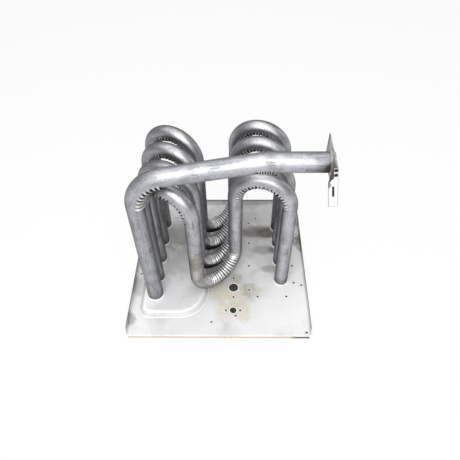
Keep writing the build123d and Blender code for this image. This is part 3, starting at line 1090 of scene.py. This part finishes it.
    def _flange(self, mesh: Shape, side: str) -> None:
        """Folds one edge up, or the front one down."""
        mid, half = self.top - self.sheet / 2, self.sheet / 2
        turn = -1.0 if side == "front" else 1.0
        reach = 0.0 if side == "front" else self.top + self.flange
        rows = []
        for i in range(self.fold_steps + 1):
            a = math.pi / 2 * i / self.fold_steps
            rise = turn * self.bend * (1.0 - math.cos(a))
            rows.append((half + self.bend * (1.0 - math.sin(a)), mid + rise))
        last = rows[-1][1]
        parts = range(1, self.wall_steps + 1)
        rows += [(half, last + (reach - last) * i / self.wall_steps) for i in parts]
        shade_layer = mesh.verts.layers.float["painted_shade"]
        grid = []
        for row, (inset, z) in enumerate(rows):
            line = []
            for k, t in enumerate(self._run()):
                if side in ("left", "right") and k == 0:
                    lift = (z - self.top - self.bend) / (self.flange - self.bend)
                    t = max(self.relief, lift * (self.relief + self.nose))
                x, y = {
                    "left": (inset, t), "right": (self.size - inset, t),
                    "front": (t, inset), "back": (t, self.size - inset),
                }[side]
                vert = mesh.verts.new(at(x, y, z))
                # Painted shade along the flange's top rows.
                if side != "front":
                    vert[shade_layer] = self.flange_top_shade[max(0, row - len(rows) + len(self.flange_top_shade))]
                line.append(vert)
            grid.append(line)
        flip = side in ("left", "back")
        for low, high in zip(grid, grid[1:]):
            for a, b, c, d in zip(low, low[1:], high[1:], high):
                mesh.faces.new((a, b, c, d) if not flip else (d, c, b, a))

    def _thicken(self, shape: Shape) -> None:
        """Gives the middle surface its thickness, half to each side, with closed edges."""
        tops, faces = list(shape.verts), list(shape.faces)
        border = [edge.link_loops[0] for edge in shape.edges if edge.is_boundary]
        half = {vert: vert.normal * self.sheet / 2 * MM for vert in tops}
        under = {vert: shape.verts.new(vert.co - half[vert], vert) for vert in tops}
        for vert in tops:
            vert.co += half[vert]
        rims = [(loop.link_loop_next.vert, loop.vert) for loop in border]
        for face in faces:
            shape.faces.new([under[vert] for vert in reversed(face.verts)])
        for first, second in rims:
            shape.faces.new((first, second, under[second], under[first]))

    def build(self, material: Material) -> Thing:
        """Makes the sheet in place of its solid."""
        shape, holes = bmesh.new(), self.holes()

        def holed(x: float, y: float) -> bool:
            return any(math.hypot(x - hx, y - hy) < r for hx, hy, r in holes)

        fill_lines(shape, self._lines(holes), self._loose(holes), ("bare_and_highlight", "painted_shade"), self._wavy, holed)
        for side in ("left", "right", "back", "front"):
            self._flange(shape, side)
        bmesh.ops.remove_doubles(shape, verts=shape.verts, dist=0.02 * MM)
        turn_faces(shape, UP)
        self._thicken(shape)
        mesh = bpy.data.meshes.new("folded_panel")
        shape.to_mesh(mesh)
        shape.free()
        thing = set_up(mesh, material, sharp=38.0)
        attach(thing, Body.ROOT.value)
        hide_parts("panel")
        return thing


@dataclass
class Plate:
    """A thin plate with softened edges and painted shade along them, cut from a flat outline with holes.
    """

    name: str
    outline: list
    holes: list
    thickness: float
    origin: Vector
    across: Vector
    upward: Vector
    painted_shade: Callable = field(default=lambda x, y: 0.0)
    grid: float = 2.5
    soften: float = 0.35
    rim_shade_width: float = 1.9
    hole_edge: float = 0.6
    hole_rim_shade: float = 0.8

    @staticmethod
    def _inset(points: list, distance: float) -> list:
        """The closed line moved to its left by a distance."""
        moved = []
        for before, here, after in zip(points[-1:] + points[:-1], points, points[1:] + points[:1]):
            first = (Vector(here) - Vector(before)).normalized()
            second = (Vector(after) - Vector(here)).normalized()
            normal = Vector((-first.y - second.y, first.x + second.x)).normalized()
            reach = distance / max(0.4, normal.dot(Vector((-first.y, first.x))))
            moved.append((here[0] + normal.x * reach, here[1] + normal.y * reach))
        return moved

    def build(self, material: Material, node: Optional[str], slot: str) -> Thing:
        """Makes the plate, in place of its solid where it has one.

        Args:
            material: its finish.
            node: the solid it replaces, or none.
            slot: not used.

        Returns:
            The plate.
        """
        rim = between(self.outline, lambda length: max(1, int(length / self.grid)))
        # Painted shade along the rim and round each hole, fading inward.
        lines = [(rim, (0.0, 1.0)), (self._inset(rim, self.rim_shade_width), (0.0, 0.0))]
        for hole in self.holes:
            lines += [(hole, (0.0, self.hole_rim_shade)), (self._inset(hole, -self.hole_edge), (0.0, 0.0))]
        shape = bmesh.new()

        def holed(x: float, y: float) -> bool:
            return any(self._holds(hole, Vector((x, y))) for hole in self.holes)

        def where(x: float, y: float, _: float) -> Vector:
            return self.origin + (self.across * x + self.upward * y) * MM

        fill_lines(shape, lines, [], ("groove",), where, holed)
        # Each point's painted shade, as the plate's rule gives it.
        shade_layer = shape.verts.layers.float.new("painted_shade")
        for vert in shape.verts:
            from_origin = (vert.co - self.origin) / MM
            vert[shade_layer] = self.painted_shade(from_origin.dot(self.across), from_origin.dot(self.upward))
        turn_faces(shape, self.across.cross(self.upward))
        bmesh.ops.solidify(shape, geom=shape.faces, thickness=self.thickness * MM)
        shape.normal_update()
        sharp = [edge for edge in shape.edges if edge.is_manifold and edge.calc_face_angle() > 1.0]
        width = self.soften * MM
        bmesh.ops.bevel(shape, geom=sharp, offset=width, segments=2, profile=0.5, affect="EDGES")
        mesh = bpy.data.meshes.new(self.name)
        shape.to_mesh(mesh)
        shape.free()
        thing = set_up(mesh, material, sharp=35.0)
        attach(thing, Body.ROOT.value)
        if node:
            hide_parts(node)
        return thing

    @staticmethod
    def _holds(hole: list, spot: Vector) -> bool:
        """If a point lies inside a convex hole."""
        middle = sum((Vector(p) for p in hole), Vector((0.0, 0.0))) / len(hole)
        reach = max((Vector(p) - middle).length for p in hole)
        if (spot - middle).length >= reach:
            return False
        turns = []
        for a, b in zip(hole, hole[1:] + hole[:1]):
            side = Vector(b) - Vector(a)
            turns.append(side.x * (spot.y - a[1]) - side.y * (spot.x - a[0]))
        return min(turns) >= 0.0 or max(turns) <= 0.0


def arc_points(x: float, y: float, radius: float, first: float, last: float, count: int) -> list:
    """Points on an arc, from one angle in degrees to another."""
    angles = [math.radians(first + (last - first) * i / count) for i in range(count + 1)]
    return [(x + radius * math.cos(a), y + radius * math.sin(a)) for a in angles]


@dataclass
class Strap:
    """The slotted hanging strip at the flange's front edge."""

    top_x: float = 575.0
    front_y: float = 81.3
    thickness: float = 2.0
    width: float = 22.5
    length: float = 122.0
    neck_width: float = 10.5
    neck_length: float = 42.0
    corner: float = 3.0
    lean: float = 8.7
    slot_width: float = 5.0
    slot_length: float = 34.0
    slot_middle: float = 72.0
    rivet_radius: float = 2.0
    rivet_depths: tuple = (7.0, 21.0)
    # Where the painted shade round the rivets fades, and where the painted shadow down the neck's left
    # side runs.
    rivet_shade: tuple = (3.4, 6.5)
    side_shadow: tuple = (5.5, 1.0)
    shadow_foot: tuple = (-66.0, -52.0)
    shadow_head: tuple = (-30.0, -40.0)
    shade_sheet: float = 0.7

    def painted_shade(self, x: float, y: float) -> float:
        """How much painted shade the strip carries at a point: round its fasteners, and a painted shadow
        down the neck's left side.
        """
        worst = 0.0
        for depth in self.rivet_depths:
            away = math.hypot(x + self.neck_width / 2, y + depth)
            worst = max(worst, 1.0 - smooth(*self.rivet_shade, away + 0.9 * math.sin(3.0 * x + y)))
        ragged = 1.2 * math.sin(y * 1.1) + 0.7 * math.sin(y * 2.7 + 1.0)
        left = smooth(*self.side_shadow, x + self.width + ragged)
        return max(worst, left * smooth(*self.shadow_foot, y) * smooth(*self.shadow_head, y))

    def build(self, material: Material) -> Thing:
        """Makes the strip in place of its solid, and a black sheet in its slot as painted shade."""
        wide, neck, long = self.width, self.neck_width, self.length
        outline = arc_points(-self.corner, -long + self.corner, self.corner, -90.0, 0.0, 4)
        step = -self.neck_length + wide - neck
        outline += [(0.0, 0.0), (-neck, 0.0), (-neck, step), (-wide, -self.neck_length)]
        outline += arc_points(-wide + self.corner, -long + self.corner, self.corner, 180.0, 270.0, 4)
        half = (self.slot_length - self.slot_width) / 2
        slot = arc_points(-wide / 2, -self.slot_middle + half, self.slot_width / 2, 0.0, 180.0, 8)
        slot += arc_points(-wide / 2, -self.slot_middle - half, self.slot_width / 2, 180.0, 360.0, 8)
        rivets = [
            arc_points(-neck / 2, -depth, self.rivet_radius, 0.0, 345.0, 23) for depth in self.rivet_depths
        ]
        lean = math.radians(self.lean)
        _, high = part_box("flue_flange")
        origin = at(self.top_x, self.front_y, 0.0)
        origin.z = high.z
        across = Vector((math.cos(lean), 0.0, math.sin(lean)))
        upward = Vector((-math.sin(lean), 0.0, math.cos(lean)))
        # A black sheet behind the slot stands in for the shade inside it.
        inside = origin + Vector((0.0, self.shade_sheet * MM, 0.0))
        shade_sheet = Plate(
            "slot_shade_sheet", slot, [], self.shade_sheet, inside, across, upward, lambda x, y: 1.0, soften=0.15
        )
        shade_sheet.build(material, None, "dark_steel")
        plate = Plate(
            "hanging_strap", outline, [slot, *rivets], self.thickness, origin, across, upward, self.painted_shade
        )
        return plate.build(material, "flue_strap", "bright_zinc")


def give(nodes: Iterable[str], material: Material) -> None:
    """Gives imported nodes, by name, a finish."""
    for name in nodes:
        thing = frame["nodes"][name]
        if not thing.material_slots:
            thing.data.materials.append(material)
        for held in thing.material_slots:
            held.material = material


@dataclass
class Studio:
    """Floor, lamps, world and the camera at the photograph's view."""

    focal_pixels: float = 445.66
    eye: tuple = (347.99, -678.69, 1284.96)
    right: tuple = (0.99990, 0.01003, -0.00975)
    up: tuple = (-0.00106, 0.74921, 0.66233)
    lamps: tuple = (
        ("key", (-0.15, -1.50, 1.70), 1.9, 46.0),
        ("overhead", (-0.15, 0.15, 2.50), 2.8, 30.0),
        ("right", (2.20, 0.90, 1.15), 0.8, 3.5),
    )
    aim: tuple = (0.0, 0.0, 0.25)
    glow: float = 0.30
    horizon: float = 0.08
    zenith: float = 0.48
    backdrop: float = 0.90
    floor_size: float = 40.0
    floor_grey: float = 0.86
    card_margin: float = 0.004
    card_height: float = 0.0003

    def camera(self) -> Thing:
        """The camera, set on the scene."""
        data = bpy.data.cameras.new("photo_view")
        data.sensor_fit = "HORIZONTAL"
        data.sensor_width = 36.0
        data.lens = self.focal_pixels / PHOTO_PIXELS * data.sensor_width
        data.clip_end = 50.0
        thing = add("photo_view", data)
        right, up = Vector(self.right).normalized(), Vector(self.up).normalized()
        back = right.cross(up).normalized()
        turn = Matrix((right, up, back)).transposed().to_4x4()
        thing.matrix_world = Matrix.Translation(at(*self.eye)) @ turn
        bpy.context.scene.camera = thing
        return thing

    def floor(self) -> None:
        """A wide pale floor."""
        bpy.ops.mesh.primitive_plane_add(size=self.floor_size)
        plane = bpy.context.object
        plane.name = "floor"
        material, tree, shader = blank_material("Pale_floor")
        fill(tree, shader, {"Base Color": (*[self.floor_grey] * 3, 1.0), "Roughness": 0.9})
        path = place(tree, "ShaderNodeLightPath")
        seen = path.outputs["Is Camera Ray"]
        for ray in ("Is Glossy Ray", "Is Transmission Ray"):
            seen = calc(tree, "MAXIMUM", seen, path.outputs[ray])
        share = span(tree, seen, (0.0, 0.0), (1.0, self.backdrop))
        white = place(tree, "ShaderNodeEmission", {"Color": (1.0, 1.0, 1.0, 1.0), "Strength": 1.0})
        inputs = {0: share, 1: shader.outputs[0], 2: white.outputs[0]}
        mixed = place(tree, "ShaderNodeMixShader", inputs)
        tree.links.new(mixed.outputs[0], tree.nodes["Material Output"].inputs["Surface"])
        plane.data.materials.append(material)

    def shade(self) -> None:
        """A dark card under the panel as painted shade, which shows only through its holes."""
        low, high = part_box("panel")
        margin = self.card_margin
        corners = [
            (low.x + margin, low.y + margin), (high.x - margin, low.y + margin),
            (high.x - margin, high.y - margin), (low.x + margin, high.y - margin),
        ]
        mesh = bpy.data.meshes.new("under_panel_shade")
        mesh.from_pydata([(x, y, self.card_height) for x, y in corners], [], [(0, 1, 2, 3)])
        card = add("under_panel_shade", mesh)
        material, tree, shader = blank_material("Painted_shade_card")
        grain = place(tree, "ShaderNodeTexNoise", {"Scale": 190.0, "Detail": 6.0}).outputs["Fac"]
        card_specks = span(tree, grain, (0.48, 0.0), (0.66, 1.0))
        colour = blend_colour(tree, card_specks, (0.006, 0.006, 0.007), (0.22, 0.22, 0.22))
        fill(tree, shader, {"Base Color": colour, "Roughness": 0.9})
        mesh.materials.append(material)

    def light(self) -> None:
        """Soft lamps, each aimed at the middle of the part."""
        aim = Vector(self.aim)
        for name, spot, size, power in self.lamps:
            data = bpy.data.lights.new(name, "AREA")
            data.shape = "SQUARE"
            data.size = size
            data.energy = power
            lamp = add(name, data)
            lamp.location = spot
            lamp.rotation_euler = (aim - Vector(spot)).to_track_quat("-Z", "Y").to_euler()

    def world(self) -> None:
        """A pale grey surround."""
        world = bpy.data.worlds.new("surround")
        world.use_nodes = True
        bpy.context.scene.world = world
        tree = world.node_tree
        direction = place(tree, "ShaderNodeTexCoord").outputs["Generated"]
        height = place(tree, "ShaderNodeSeparateXYZ", {"Vector": direction}).outputs["Z"]
        glow = span(tree, height, (0.0, self.glow), (0.22, 0.0))
        strength = span(tree, height, (0.0, self.horizon), (0.9, self.zenith))
        strength = calc(tree, "ADD", strength, glow)
        fill(tree, tree.nodes["Background"], {"Color": (1.0, 1.0, 1.0, 1.0), "Strength": strength})
        bpy.context.scene.view_settings.view_transform = "Standard"

    def build(self) -> None:
        """Sets up the whole studio."""
        self.camera()
        self.floor()
        self.shade()
        self.light()
        self.world()


def main() -> None:
    """Builds the dressed part and its studio."""
    logging.basicConfig(level=logging.INFO)
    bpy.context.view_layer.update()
    effects = Effects()
    TubeBank().build(AluminisedTube().build(effects))
    FluePipe().build(FLUE_STEEL.build(effects))
    Panel().build(GalvanisedSheet().build(effects))
    Strap().build(STRAP_ZINC.build(effects))
    rings = [f"{side}_ferrule_{i}" for side in ("burner", "collector") for i in range(1, 5)]
    give([*rings, "flue_ferrule"], FERRULE_STEEL.build(effects))
    for node, finish in (
        ("collector_pan", PAN_SHEET), ("flue_flange", FLANGE_STEEL), ("strap_rivets", BLACK_OXIDE),
        ("cover_screws", SCREW_ZINC), ("collector_gasket", GASKET_FIBRE),
    ):
        give([node], finish.build(effects))
    Studio().build()


if __name__ == "__main__":
    main()
